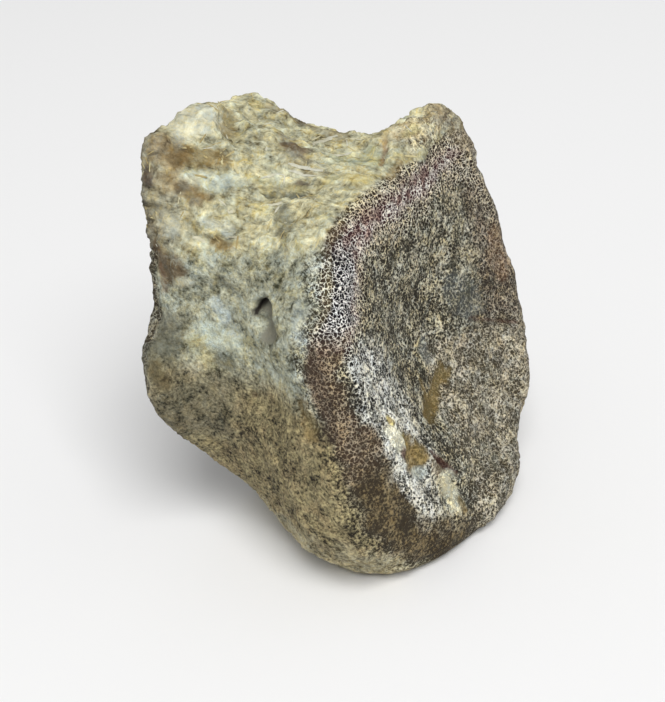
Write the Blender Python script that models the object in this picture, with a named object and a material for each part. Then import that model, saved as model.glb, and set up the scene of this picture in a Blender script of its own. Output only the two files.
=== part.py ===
"""A fossil reptile vertebra: the spool-shaped centrum of a phytosaur, with its neural arch broken off.

The bone stands as it rests on a table: +Z up, its front face towards +X, its left side towards -Y.
The origin is on the table, under the middle of the bone. Sizes are in millimetres until the mesh is made.
"""

import math

import bmesh
import bpy
import numpy as np
from mathutils import Vector, noise

MM = 0.001

# The bone's axis runs from the middle of the back face to the middle of the front one. Each face leans back.
BACK_MIDDLE = np.array([-19.0, 0.2, 27.0])
FRONT_MIDDLE = np.array([16.4, 2.2, 28.6])
BACK_LEAN = math.radians(8)
FRONT_LEAN = math.radians(16)

# Rings round the bone, from the hollow of the back face over its rim and the flanks to the hollow of the
# front face. Each has its share of the way from back to front, then its radii every 30 degrees: the first is
# on the right side, the fourth on top, the seventh on the left side and the tenth underneath.
RINGS = [
    (0.15, [6.5, 6.5, 6.5, 6.5, 6.5, 6.5, 6.5, 6.5, 6.5, 6.5, 6.5, 6.5]),
    (0.10, [15.0, 15.5, 16.0, 16.5, 16.0, 15.5, 15.0, 14.5, 14.5, 15.0, 15.0, 15.0]),
    (0.00, [22.0, 25.5, 29.7, 31.0, 30.0, 21.0, 21.5, 19.5, 20.5, 23.5, 24.5, 21.5]),
    (0.09, [25.0, 29.0, 32.3, 34.6, 34.8, 25.0, 26.3, 23.5, 23.5, 28.0, 29.0, 25.0]),
    (0.22, [22.5, 26.0, 30.0, 34.3, 33.5, 24.5, 22.5, 24.0, 26.5, 27.5, 26.5, 23.0]),
    (0.45, [20.0, 23.0, 28.6, 31.3, 29.0, 24.2, 22.0, 27.0, 31.5, 27.5, 23.5, 20.5]),
    (0.68, [22.0, 25.5, 30.0, 28.5, 28.5, 27.2, 25.2, 31.5, 35.0, 29.5, 25.5, 22.5]),
    (0.88, [25.3, 28.5, 34.0, 28.5, 29.5, 28.8, 27.2, 32.6, 32.7, 30.3, 29.0, 26.0]),
    (1.00, [22.3, 27.0, 33.3, 26.0, 28.6, 26.4, 23.6, 23.1, 26.4, 26.6, 23.3, 22.8]),
    (0.992, [19.3, 22.0, 24.0, 21.5, 23.5, 22.0, 19.5, 19.2, 21.5, 21.9, 19.8, 19.4]),
    (0.955, [14.5, 15.0, 15.5, 15.0, 15.0, 15.0, 14.5, 14.5, 15.0, 15.0, 14.5, 14.5]),
    (0.885, [6.5, 6.5, 6.5, 6.5, 6.5, 6.5, 6.5, 6.5, 6.5, 6.5, 6.5, 6.5]),
]
BACK_FLOOR = 0.16
FRONT_FLOOR = 0.865

# Lumps and dents: a line that each follows, how far it reaches to the sides, and how far it stands out.
LUMPS = {
    "peak of the front rim": ((6.2, 18.7, 59.0), (7.2, 20.7, 58.2), 3.0, 1.6),
    "knob of the right arch root": ((-20.0, 9.7, 60.0), (-14.0, 7.7, 59.5), 3.2, 0.8),
    "floor of the nerve canal": ((-20.0, 3.4, 61.0), (8.0, 3.7, 56.0), 2.2, -1.1),
    "left arch root": ((-17.0, -5.8, 62.0), (-11.0, -5.8, 60.0), 4.5, 0.8),
    "shoulder of the back rim": ((-20.0, -13.8, 59.0), (-19.0, -15.8, 57.5), 3.5, 0.3),
    "upper nick in the back rim": ((-19.5, -18.3, 54.0), (-18.2, -20.0, 44.5), 3.2, -2.0),
    "lower nick in the back rim": ((-18.5, -20.8, 41.0), (-17.0, -22.8, 38.5), 2.8, -0.9),
    "swelling low on the back rim": ((-18.0, -24.8, 34.0), (-16.0, -24.8, 28.0), 5.5, 1.1),
    "edge of the broken left root, behind": ((-16.5, -20.8, 46.0), (-6.0, -17.3, 47.5), 2.4, 0.8),
    "edge of the broken left root, in front": ((-6.0, -17.3, 47.5), (5.0, -15.8, 51.0), 2.4, 0.7),
    "hollow of the left flank": ((-10.0, -19.8, 37.0), (1.0, -20.3, 34.0), 6.0, -0.9),
    "rib facet, left": ((2.5, -21.8, 4.0), (8.0, -26.3, 8.0), 5.5, 1.9),
    "rib facet, right": ((3.0, 21.2, 9.0), (7.0, 24.2, 12.0), 5.0, 1.2),
    "chip in the lower front rim": ((19.2, -14.8, 18.0), (21.3, -8.8, 12.0), 2.6, -0.8),
    "lip beside the chip": ((19.0, -9.0, 17.0), (21.0, -3.8, 11.0), 2.4, 0.5),
    "pit in the front face": ((14.6, 2.7, 21.5), (15.6, 2.7, 17.5), 1.9, -0.8),
    "upper small pit": ((-2.6, -19.3, 27.0), (-2.2, -19.3, 26.0), 1.8, -1.0),
    "lower small pit": ((-1.8, -21.3, 18.5), (-1.2, -21.3, 17.5), 1.6, -0.8),
}

# The mouth of the canal that fed the bone: its place on the left flank, its half sizes and its slant.
VESSEL_MOUTH = (-0.4, -21.4, 40.6)
VESSEL_SIZE = (1.5, 2.3, 2.9)
VESSEL_SLANT = math.radians(-8)

# Weathering: how far the surface rises and falls and over what lengths, on worn and on broken bone, and how
# much shorter and fainter its second wave is.
WORN_DEPTH = 0.45
WORN_LENGTH = Vector((6.0, 6.0, 6.0))
BROKEN_DEPTH = 0.9
BROKEN_LENGTH = Vector((9.0, 3.2, 3.2))
SHORTER = 0.55
FAINTER = 0.35

# The break where the arch came off: its lower edge on the left side, how that edge climbs to the right, how
# wide its border is, and where it ends behind the front rim.
BREAK_EDGE = (-15.0, 50.0)
BREAK_CLIMB = 0.2
BREAK_BORDER = 2.0
BREAK_END = (6.0, 10.0)

SEGMENTS = 96
STEPS = 4


def clear_scene():
    for obj in list(bpy.data.objects):
        bpy.data.objects.remove(obj)


def cubic(before, here, after, beyond, t):
    """A smooth curve through four values, t of the way from the second to the third."""
    slope = after - before
    sag = 2 * before - 5 * here + 4 * after - beyond
    turn = 3 * (here - after) + beyond - before
    return here + 0.5 * t * (slope + t * (sag + t * turn))


def round_bone(radii, angles):
    """A smooth closed curve through evenly spaced radii, read at the given angles."""
    radii = np.asarray(radii, float)
    place = angles / (2 * math.pi) * len(radii)
    first = np.floor(place).astype(int)
    around = [radii[(first + k) % len(radii)] for k in (-1, 0, 1, 2)]
    return cubic(*around, place - first)


def ring_points(share, radii, angles):
    """The points of a ring that lies a share of the way from the back face to the front one."""
    middle = BACK_MIDDLE + (FRONT_MIDDLE - BACK_MIDDLE) * share
    lean = BACK_LEAN + (FRONT_LEAN - BACK_LEAN) * share
    right = np.array([0.0, 1.0, 0.0])
    up = np.array([-math.sin(lean), 0.0, math.cos(lean)])
    return middle + np.outer(radii * np.cos(angles), right) + np.outer(radii * np.sin(angles), up)


def skin_points(angles):
    """Rings of points close enough for a smooth skin, with the middle of each face as the ends."""
    nothing = np.zeros(len(angles))
    stations = [ring_points(share, round_bone(radii, angles), angles) for share, radii in RINGS]
    back = ring_points(BACK_FLOOR, nothing, angles)
    front = ring_points(FRONT_FLOOR, nothing, angles)
    past_back, past_front = (np.roll(stations[k], len(angles) // 2, axis=0) for k in (0, -1))
    chain = [past_back, back, *stations, front, past_front]
    rings = []
    for span in zip(chain, chain[1:], chain[2:], chain[3:]):
        rings += [cubic(*span, k / STEPS) for k in range(STEPS)]
    return rings[1:], back[0], front[0]


def skin(rings, back, front):
    """A closed mesh over the rings, with a fan at each end."""
    mesh = bmesh.new()
    rows = [[mesh.verts.new(point) for point in points] for points in rings]
    first, last = mesh.verts.new(back), mesh.verts.new(front)
    count = len(rows[0])
    for k in range(count):
        after = (k + 1) % count
        mesh.faces.new((first, rows[0][after], rows[0][k]))
        mesh.faces.new((last, rows[-1][k], rows[-1][after]))
        for inner, outer in zip(rows, rows[1:]):
            mesh.faces.new((inner[k], inner[after], outer[after], outer[k]))
    bmesh.ops.recalc_face_normals(mesh, faces=mesh.faces)
    mesh.normal_update()
    return mesh


def smooth_step(low, high, value):
    t = min(max((value - low) / (high - low), 0.0), 1.0)
    return t * t * (3 - 2 * t)


def line_distance(point, start, end):
    along = end - start
    t = (point - start).dot(along) / along.length_squared
    return (point - start - along * min(max(t, 0.0), 1.0)).length


def lump_height(point):
    """How far the named lumps and dents push a point outwards."""
    height = 0.0
    for start, end, reach, out in LUMPS.values():
        height += out * math.exp(-((line_distance(point, Vector(start), Vector(end)) / reach) ** 2))
    return height


def broken_share(point):
    """1 on the broken bone where the arch came off, fading to 0 on the worn flanks and faces."""
    across, up = BREAK_EDGE
    above = point.z - up - BREAK_CLIMB * (point.y - across)
    return smooth_step(-BREAK_BORDER, BREAK_BORDER, above) * (1 - smooth_step(*BREAK_END, point.x))


def waves(point, lengths):
    """Two waves of smooth noise, drawn out to the given lengths along the three axes."""
    drawn = Vector(p / length for p, length in zip(point, lengths))
    return noise.noise(drawn) + FAINTER * noise.noise(drawn / SHORTER)


def weathering(point):
    """The slow rise and fall of the surface, deeper where the bone is broken."""
    worn = WORN_DEPTH * waves(point, WORN_LENGTH)
    return worn + BROKEN_DEPTH * broken_share(point) * waves(point, BROKEN_LENGTH)


def shape_surface(mesh):
    """Raise the lumps, sink the dents, weather the bone, and wear it flat where it rests."""
    moves = [v.normal * (lump_height(v.co) + weathering(v.co)) for v in mesh.verts]
    for v, move in zip(mesh.verts, moves):
        v.co += move
        v.co.z = max(v.co.z, 0.0)


def vertebra():
    angles = np.arange(SEGMENTS) * 2 * math.pi / SEGMENTS
    mesh = skin(*skin_points(angles))
    shape_surface(mesh)
    bmesh.ops.scale(mesh, vec=(MM, MM, MM), verts=mesh.verts)
    data = bpy.data.meshes.new("vertebra")
    mesh.to_mesh(data)
    mesh.free()
    data.shade_smooth()
    obj = bpy.data.objects.new("vertebra", data)
    bpy.context.scene.collection.objects.link(obj)
    return obj


def vessel_mouth(bone):
    """Cut the small mouth of the feeding canal into the bone."""
    mesh = bmesh.new()
    bmesh.ops.create_icosphere(mesh, subdivisions=2, radius=1.0)
    data = bpy.data.meshes.new("vessel_cutter")
    mesh.to_mesh(data)
    mesh.free()
    cutter = bpy.data.objects.new("vessel_cutter", data)
    cutter.location = Vector(VESSEL_MOUTH) * MM
    cutter.rotation_euler.y = VESSEL_SLANT
    cutter.scale = Vector(VESSEL_SIZE) * MM
    cutter.hide_render = True
    cutter.display_type = "WIRE"
    bpy.context.scene.collection.objects.link(cutter)
    cut = bone.modifiers.new("vessel mouth", "BOOLEAN")
    cut.operation = "DIFFERENCE"
    cut.solver = "EXACT"
    cut.object = cutter


def fossil_bone():
    material = bpy.data.materials.new("fossil_bone")
    material.use_nodes = True
    surface = material.node_tree.nodes["Principled BSDF"]
    surface.inputs["Base Color"].default_value = (0.27, 0.22, 0.12, 1)
    surface.inputs["Roughness"].default_value = 0.75
    surface.inputs["Metallic"].default_value = 0.0
    return material


def main():
    clear_scene()
    bone = vertebra()
    bone.data.materials.append(fossil_bone())
    vessel_mouth(bone)


main()
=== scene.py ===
import math

import bmesh
import bpy
import numpy as np
from mathutils import Matrix, Vector, noise
from mathutils.bvhtree import BVHTree


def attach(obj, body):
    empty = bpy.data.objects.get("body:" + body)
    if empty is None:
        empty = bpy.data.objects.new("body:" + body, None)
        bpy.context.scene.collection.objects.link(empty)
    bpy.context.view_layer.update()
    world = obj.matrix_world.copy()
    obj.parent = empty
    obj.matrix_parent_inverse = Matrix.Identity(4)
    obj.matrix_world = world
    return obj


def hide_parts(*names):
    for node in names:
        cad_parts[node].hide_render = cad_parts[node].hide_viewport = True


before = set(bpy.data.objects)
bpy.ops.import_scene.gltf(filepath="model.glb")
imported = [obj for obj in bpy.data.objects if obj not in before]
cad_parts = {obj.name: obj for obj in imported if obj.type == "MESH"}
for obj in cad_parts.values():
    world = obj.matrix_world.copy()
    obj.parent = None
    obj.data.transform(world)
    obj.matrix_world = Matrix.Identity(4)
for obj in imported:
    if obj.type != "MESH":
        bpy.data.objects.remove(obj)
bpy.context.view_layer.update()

# ---------------------------------------------------------------------------
# The bone
# The spool-shaped body of one vertebra, bone turned to stone in the ground, all one piece.
# It is grown here as one even skin over the frame's solid, so that fine relief has points to stand on.
# ---------------------------------------------------------------------------
MM = 0.001
WELD = 1e-6
SKIN_SPACING = 0.00082
SKIN_PASSES = 3


def add_object(name, data):
    """A new object for that mesh, lamp or camera, at the origin and unturned."""
    made = bpy.data.objects.new(name, data)
    bpy.context.scene.collection.objects.link(made)
    return made


def plain_mesh(worked, name):
    """The shape of an object with its modifiers done, as a plain mesh; the object itself goes."""
    graph = bpy.context.evaluated_depsgraph_get()
    mesh = bpy.data.meshes.new_from_object(worked.evaluated_get(graph), depsgraph=graph)
    mesh.name = name
    bpy.data.objects.remove(worked)
    return mesh


def even_skin(solid, name):
    """The frame's solid as a welded copy with one even layer of small faces."""
    welded = bmesh.new()
    welded.from_mesh(solid.data)
    bmesh.ops.remove_doubles(welded, verts=welded.verts, dist=WELD)
    mesh = bpy.data.meshes.new(name)
    welded.to_mesh(mesh)
    welded.free()
    blank = add_object(name, mesh)
    weave = blank.modifiers.new("even faces", "REMESH")
    weave.mode = "VOXEL"
    weave.voxel_size = SKIN_SPACING
    ease = blank.modifiers.new("eased facets", "SMOOTH")
    ease.iterations = SKIN_PASSES
    finer = blank.modifiers.new("finer faces", "SUBSURF")
    finer.levels = 1
    finer.render_levels = 1
    return plain_mesh(blank, name)


bone_mesh = even_skin(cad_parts["vertebra"], "bone skin")

# ---------------------------------------------------------------------------
# The bone's zones
# Each part of the bone broke, wore or stained in its own way, and a few parts also carry painted shade or
# light. The zones are worked out from where a point lies: round the worn front face, above the line where
# the arch broke off, or low on the flank.
# ---------------------------------------------------------------------------
FRONT_MIDDLE = np.array([16.4, 2.2, 28.6])
FRONT_LEAN = math.radians(16)
BACK_MIDDLE = np.array([-19.0, 0.2, 27.0])
BACK_LEAN = math.radians(8)
CREST_STEPS = 36
CREST_FLARE = 0.3
HOLLOW_SLOPE = 0.45
HOLLOW_SLACK = 0.8
CLOUD_SHIFT = (7.3, 3.1, 5.7)
SPAN_FADE = 12

# How far out past the rim's crest the worn face reaches, in each direction round the face, in degrees.
# Below 0 it stops short of the crest.
RIM_BAND = [
    (0, 3.5), (35, 3.0), (52, 0.0), (62, -3.5), (72, -5.5), (87, -1.3),
    (99, 0.3), (117, 0.9), (127, 1.3), (145, 1.1), (150, 2.5), (155, 3.9),
    (162, 5.5), (169, 5.4), (177, 4.5), (184, 3.4), (216, 2.9), (240, 3.5),
]
FRONT_EDGE = (-0.9, 0.5)
BACK_BAND = 2.2
BACK_EDGE = (-0.9, 0.7)
BREAK_HEIGHT = 49.0
BREAK_CLIMB = 0.15
BREAK_EDGE = (-1.2, 1.4)
RAGGED_RISE = 4.5
RAGGED_AHEAD = (-13, -19)


def points_of(mesh):
    """Every point of a mesh, in millimetres."""
    flat = np.zeros(len(mesh.vertices) * 3)
    mesh.vertices.foreach_get("co", flat)
    return flat.reshape(-1, 3) / MM


def ramp(low, high, value):
    """0 below low and 1 above high, with a smooth rise between."""
    share = np.clip((value - low) / (high - low), 0, 1)
    return share * share * (3 - 2 * share)


def cloud(places, size, start=0):
    """A smooth wandering value from -1 to 1, over patches of about that many millimetres."""
    shift = Vector([start * step for step in CLOUD_SHIFT])
    return np.array([noise.noise(Vector(p) / size + shift) for p in places])


def around(places, middle, lean, facing):
    """Angle, height over the face's plane and distance from its middle, for each point."""
    outward = facing * np.array([math.cos(lean), 0, math.sin(lean)])
    upward = np.array([-math.sin(lean), 0, math.cos(lean)])
    off = places - middle
    right = off[:, 1]
    up = off @ upward
    return np.degrees(np.arctan2(up, right)) % 360, off @ outward, np.hypot(right, up)


def crest_line(angle, ahead, reach):
    """Distance of the rim's crest from the face's middle, in each direction."""
    found = []
    for step in range(CREST_STEPS):
        off = np.abs((angle - step * 360 / CREST_STEPS + 180) % 360 - 180)
        near = off < 180 / CREST_STEPS
        best = np.argmax((ahead + CREST_FLARE * reach)[near])
        found.append(reach[near][best])
    found = np.array(found)
    return (np.roll(found, 1) + 2 * found + np.roll(found, -1)) / 4


def around_table(angle, table):
    """A value read from a table that goes once round the face."""
    steps = np.arange(len(table) + 1) * 360 / len(table)
    return np.interp(angle, steps, list(table) + [table[0]])


def inward(places, middle, lean, facing):
    """Angle, and how far in from the rim's crest a point lies: below 0 is outside, on the flank."""
    angle, ahead, reach = around(places, middle, lean, facing)
    crest = around_table(angle, crest_line(angle, ahead, reach))
    within = (reach < crest) & (ahead > -HOLLOW_SLOPE * (crest - reach) - HOLLOW_SLACK)
    return angle, np.where(within, crest - reach, np.minimum(ahead, 0))


def span(low, high):
    """1 between two directions round the front face, fading out over a few degrees beyond them."""
    middle = (low + high) / 2
    off = np.abs((front_angle - middle + 180) % 360 - 180)
    return ramp(-SPAN_FADE, 0, (high - low) / 2 - off)


# Every edge between zones wanders: by wander over short stretches and by drift over long ones. The
# factor on each says how far, in millimetres.
bone_points = points_of(bone_mesh)
ahead = bone_points[:, 0]
aside = bone_points[:, 1]
height = bone_points[:, 2]
wander = cloud(bone_points, 2.5)
drift = cloud(bone_points, 7.0, start=1)
front_angle, front_in = inward(bone_points, FRONT_MIDDLE, FRONT_LEAN, 1)
_, back_in = inward(bone_points, BACK_MIDDLE, BACK_LEAN, -1)
band = np.interp(front_angle, *zip(*RIM_BAND), period=360)
past_band = front_in + band + 0.7 * wander
front_zone = ramp(*FRONT_EDGE, past_band)
back_zone = ramp(*BACK_EDGE, back_in + BACK_BAND + 0.7 * wander)
break_line = BREAK_HEIGHT + BREAK_CLIMB * ahead
ragged_back = RAGGED_RISE * drift * ramp(*RAGGED_AHEAD, ahead)
broken_zone = ramp(*BREAK_EDGE, height - break_line + 1.4 * wander + ragged_back) * (1 - front_zone)

# Colours are given on a 0 to 255 colour chart, then turned into what the stone itself reflects.
CHART_LIGHT = 1.12


def chart(red, green, blue):
    """A colour of the chart as the share of light that the stone sends back, by the screen's own curve."""
    share = np.array([red, green, blue]) / 255
    return np.where(share > 0.04045, ((share + 0.055) / 1.055) ** 2.4, share / 12.92) / CHART_LIGHT


# Each finish: the dark of its pores and the pale of its grains, then how much of it is pale, how much
# ochre, chalky crust and reddish stain it has, how coarse it is, and how open its inner net lies.
HABITS = ("pale share", "ochre", "chalk", "blush", "coarse", "open")
STAINED_HABITS = slice(HABITS.index("ochre"), HABITS.index("coarse"))
FINISH = {
    "grey-green flank": (chart(56, 56, 36), chart(223, 224, 201), 0.50, 0.50, 0.40, 0.05, 0.35, 0.0),
    "flank by the rim": (chart(46, 41, 26), chart(246, 245, 226), 0.50, 0.50, 0.40, 0.05, 0.8, 0.3),
    "grey bulge": (chart(58, 56, 42), chart(150, 148, 128), 0.48, 0.30, 0.10, 0.05, 0.4, 0.0),
    # The olive lower flank is partly the bone's own colour and partly painted shade on the flank that faces
    # down.
    "olive shaded lower flank": (chart(38, 32, 18), chart(190, 177, 132), 0.51, 0.02, 0.00, 0.45, 0.95, 0.0),
    "grey hollow flank": (chart(40, 38, 24), chart(162, 154, 124), 0.47, 0.15, 0.10, 0.25, 0.7, 0.0),
    "pale underside": (chart(76, 69, 46), chart(218, 208, 174), 0.52, 0.40, 0.15, 0.15, 0.6, 0.0),
    # The flange is partly its own speckled brown and partly painted shade on the rim's outer side, which
    # faces down and left.
    "brown shaded flange": (chart(54, 44, 28), chart(140, 123, 88), 0.36, 0.30, 0.04, 0.12, 1.0, 0.0),
    "broken bone": (chart(80, 71, 41), chart(250, 246, 209), 0.50, 0.75, 0.35, 0.10, 0.5, 0.0),
    # The torn edge on the left is partly its own browner colour and partly painted shade on the side turned
    # from the lamp.
    "brown shaded torn edge": (chart(60, 52, 32), chart(222, 214, 182), 0.46, 0.60, 0.25, 0.15, 0.6, 0.0),
    "pepper and salt": (chart(10, 5, 14), chart(255, 253, 248), -0.40, 0.02, 0.02, 0.10, 0.3, 1.0),
    "purple rim": (chart(66, 36, 39), chart(255, 250, 238), 0.74, 0.08, 0.05, 0.25, 0.4, 1.0),
    "purple patch": (chart(58, 30, 31), chart(184, 148, 134), -0.16, 0.08, 0.05, 0.30, 0.4, 1.0),
    "brown rim edge": (chart(62, 48, 34), chart(184, 166, 138), 0.42, 0.30, 0.08, 0.25, 0.6, 0.3),
    "cream rim edge": (chart(84, 74, 50), chart(238, 232, 202), 0.48, 0.40, 0.25, 0.10, 0.5, 0.35),
    "upper face net": (chart(46, 34, 23), chart(240, 230, 204), 0.42, 0.35, 0.08, 0.25, 0.3, 0.75),
    # The lower left inner slope is partly the bone's own white speckle and partly painted light where it
    # faces the lamp.
    "white lit slope": (chart(14, 14, 10), chart(255, 254, 244), 0.74, 0.25, 0.15, 0.10, 0.8, 0.12),
    "olive hollow": (chart(38, 34, 22), chart(230, 223, 198), 0.35, 0.45, 0.14, 0.15, 0.3, 0.1),
    "reddish right": (chart(46, 38, 30), chart(202, 190, 166), 0.43, 0.35, 0.14, 0.50, 0.3, 0.2),
    "beige right": (chart(62, 56, 42), chart(224, 216, 194), 0.52, 0.35, 0.15, 0.25, 0.4, 0.15),
    "tan peak": (chart(62, 46, 24), chart(255, 252, 220), 0.66, 0.60, 0.20, 0.35, 0.8, 0.1),
    "smooth lump": (chart(140, 134, 100), chart(246, 244, 220), 0.56, 0.45, 0.30, 0.05, 0.3, 0.0),
    "back face": (chart(58, 50, 36), chart(188, 182, 160), 0.44, 0.40, 0.20, 0.20, 0.6, 0.2),
}
count = len(bone_points)
dark = np.tile(FINISH["grey-green flank"][0], (count, 1))
pale = np.tile(FINISH["grey-green flank"][1], (count, 1))
habits = np.tile(FINISH["grey-green flank"][2:], (count, 1))
calm = np.zeros(count)

# Where the finishes of the flank, the break and the peak lie, in millimetres: each fades in from the
# first value of a pair to the second.
NEAR_RIM = (-4.5, 0)
NEAR_RIM_HEIGHT = (26, 32)
BULGE_AHEAD = (-11, -15)
BULGE_ASIDE = (-18, -21)
BULGE_HEIGHT = (40, 37)
DARK_FLANK_LINE = 30.5
DARK_FLANK_FADE = (3.5, -3.5)
FAR_FLANK = (2, 12)
WAIST_TOP = (32, 28.5)
WAIST_FOOT = (18, 22)
WAIST_AHEAD = (-3, -8)
UNDERSIDE = 9
UNDERSIDE_FADE = (2.5, -2.5)
TORN_AHEAD = (-11, -17)
TORN_ASIDE = (-8, -14)
PEAK_HEIGHT = (53.5, 56)
PEAK_AHEAD = (3.5, 6)
PEAK_ASIDE = (6, 10)
PEAK_WORN = 0.8
PEAK_UNTORN = 0.6
LUMP = ((-19.0, -7.6, 61.5), (-17.4, -3.4, 62.0))
LUMP_REACH = 3.4
LUMP_FADE = (1.25, 0.7)
LUMP_CALM = 0.35

# The finishes of the front face: the two directions that each runs between, in degrees, and the depth in
# from the rim over which it fades out, in millimetres.
ON_FACE = {
    "brown shaded flange": (196, 262, 2.2, -0.8),
    "reddish right": (-25, 45, 12, 5),
    "white lit slope": (158, 226, 16, 8),
    "upper face net": (36, 150, 9.5, 5.5),
    "purple rim": (62, 150, 6.2, 3.8),
    "brown rim edge": (154, 188, 4.8, 3.4),
    "pepper and salt": (130, 146, 4.4, 3.0),
    "cream rim edge": (90, 146, 0.5, -0.2),
    "purple patch": (62, 150, 5.6, 3.4),
}
BEIGE_RIGHT = (262, 340)
SLOPE_LIP = (-1.3, 1.1)
PURPLE_TOP = (54, 50.5)
PATCH_EDGE = (-0.08, 0.22)
PATCH_END = (132, 150)
RIGHT_SIDE = (-85, 50)
RIGHT_DEPTH = (19, 11)
RIGHT_CALM = 0.5


def draw_towards(mask, tone_dark, tone_pale):
    """Draws the dark and the pale of the stone towards these two, as far as the mask says."""
    global dark, pale
    dark = dark + mask[:, None] * (tone_dark - dark)
    pale = pale + mask[:, None] * (tone_pale - pale)


def lay(mask, finish):
    """Lays a finish over what is there, as strong as the mask."""
    global habits
    tone_dark, tone_pale, *amounts = FINISH[finish]
    draw_towards(mask, tone_dark, tone_pale)
    habits = habits + mask[:, None] * (np.array(amounts) - habits)


def lay_on_face(finish, how_deep, within=1):
    """Lays a finish over its own stretch of the front face, down to its own depth."""
    low, high, fades_out, full = ON_FACE[finish]
    lay(front_zone * span(low, high) * ramp(fades_out, full, how_deep) * within, finish)


def near_line(places, start, end):
    """Distance of each point from the line between two places."""
    start = np.array(start)
    along = np.array(end) - start
    part = np.clip((places - start) @ along / (along @ along), 0, 1)
    return np.linalg.norm(places - start - part[:, None] * along, axis=1)


def along_line(start, end, reach, fade, ragged):
    """1 by the line between two places, fading out from one to the other multiple of its reach."""
    gone, full = fade
    return ramp(gone * reach, full * reach, near_line(bone_points, start, end) + ragged)


near_rim = ramp(*NEAR_RIM, past_band + 1.2 * wander) * (1 - front_zone)
lay(near_rim * ramp(*NEAR_RIM_HEIGHT, height), "flank by the rim")
lay(ramp(*BULGE_AHEAD, ahead) * ramp(*BULGE_ASIDE, aside) * ramp(*BULGE_HEIGHT, height), "grey bulge")
far_waves = ramp(*FAR_FLANK, aside) * (5 * cloud(bone_points, 12, start=5) + 3 * wander)
# Below this line the flank is darker: partly its own olive colour, partly painted shade where it faces down.
dark_flank_line = DARK_FLANK_LINE + 3 * drift + wander + far_waves
lay(ramp(*DARK_FLANK_FADE, height - dark_flank_line), "olive shaded lower flank")
waist = ramp(*WAIST_TOP, height + 2 * drift) * ramp(*WAIST_FOOT, height + drift)
lay(waist * ramp(*WAIST_AHEAD, ahead + wander), "grey hollow flank")
lay(ramp(*UNDERSIDE_FADE, height - UNDERSIDE - 3 * wander), "pale underside")
lay(broken_zone, "broken bone")
# The left part of the break is darker: partly its own brown, partly painted shade.
shaded_torn_edge = ramp(*TORN_AHEAD, ahead + 1.5 * wander) * ramp(*TORN_ASIDE, aside + 2 * wander)
lay(broken_zone * shaded_torn_edge, "brown shaded torn edge")
lay(back_zone, "back face")

lay(front_zone, "olive hollow")
# Painted shade, together with the flange's own brown, on the lower left outer side of the rim.
lay_on_face("brown shaded flange", front_in + wander)
lay_on_face("reddish right", front_in + 2 * wander)
lay(front_zone * span(*BEIGE_RIGHT), "beige right")
# Paler inner slope at the lower left: its own white speckle, with painted light.
lay_on_face("white lit slope", front_in + 2.5 * drift + wander, ramp(*SLOPE_LIP, front_in + wander))
depth = past_band + 0.6 * wander + 0.5 * drift
below_peak = ramp(*PURPLE_TOP, height + wander)
lay_on_face("upper face net", depth + drift)
lay_on_face("purple rim", depth, below_peak)
lay_on_face("brown rim edge", depth)
lay_on_face("pepper and salt", depth)
lay_on_face("cream rim edge", past_band + 0.8 * drift)
# The purple patches gather by the rim and thin out before the black and white stretch.
blotches = cloud(bone_points, 1.5, start=3) + 0.5 * cloud(bone_points, 0.8, start=4)
patchy = ramp(*PATCH_EDGE, blotches + 0.12 * (3 - depth)) * (1 - span(*PATCH_END))
lay_on_face("purple patch", depth, below_peak * patchy)
right_side = front_zone * span(*RIGHT_SIDE) * ramp(*RIGHT_DEPTH, front_in + wander)
calm = np.maximum(calm, RIGHT_CALM * right_side)

peak = ramp(*PEAK_HEIGHT, height + wander) * ramp(*PEAK_AHEAD, ahead) * ramp(*PEAK_ASIDE, aside)
lay(peak * (1 - PEAK_WORN * front_zone), "tan peak")
broken_zone = broken_zone * (1 - PEAK_UNTORN * peak)
lump = along_line(*LUMP, LUMP_REACH, LUMP_FADE, 0.8 * wander)
lay(lump, "smooth lump")
calm = np.maximum(calm, LUMP_CALM * lump)

# The tones that later stained, filled or dusted the bone, and the tones of its painted shadows.
TONE = {
    "chalk": chart(214, 212, 190),
    "bluish white": chart(206, 213, 206),
    "greenish white": chart(216, 222, 205),
    "straw": chart(190, 180, 128),
    "cream": chart(255, 252, 228),
    "umber": chart(128, 106, 58),
    "russet": chart(98, 77, 50),
    "grey tan": chart(150, 138, 114),
    "ochre": chart(146, 119, 66),
    "brown": chart(112, 94, 68),
    "purple brown": chart(82, 64, 54),
    "rust": chart(134, 98, 66),
    "tan": chart(212, 190, 140),
    "pink tan": chart(166, 146, 118),
    "grey": chart(112, 112, 98),
    "slate": chart(88, 92, 84),
    "pale green": chart(190, 196, 168),
    "olive": chart(96, 86, 58),
    "olive ochre": chart(142, 121, 70),
    "blue grey": chart(122, 128, 126),
    "dark red": chart(84, 46, 36),
    "sulphur": chart(214, 198, 120),
    # Painted shadow, for under the vessel hole's upper lip.
    "pit shadow": chart(30, 24, 16),
    "clay": chart(136, 134, 118),
}
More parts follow.
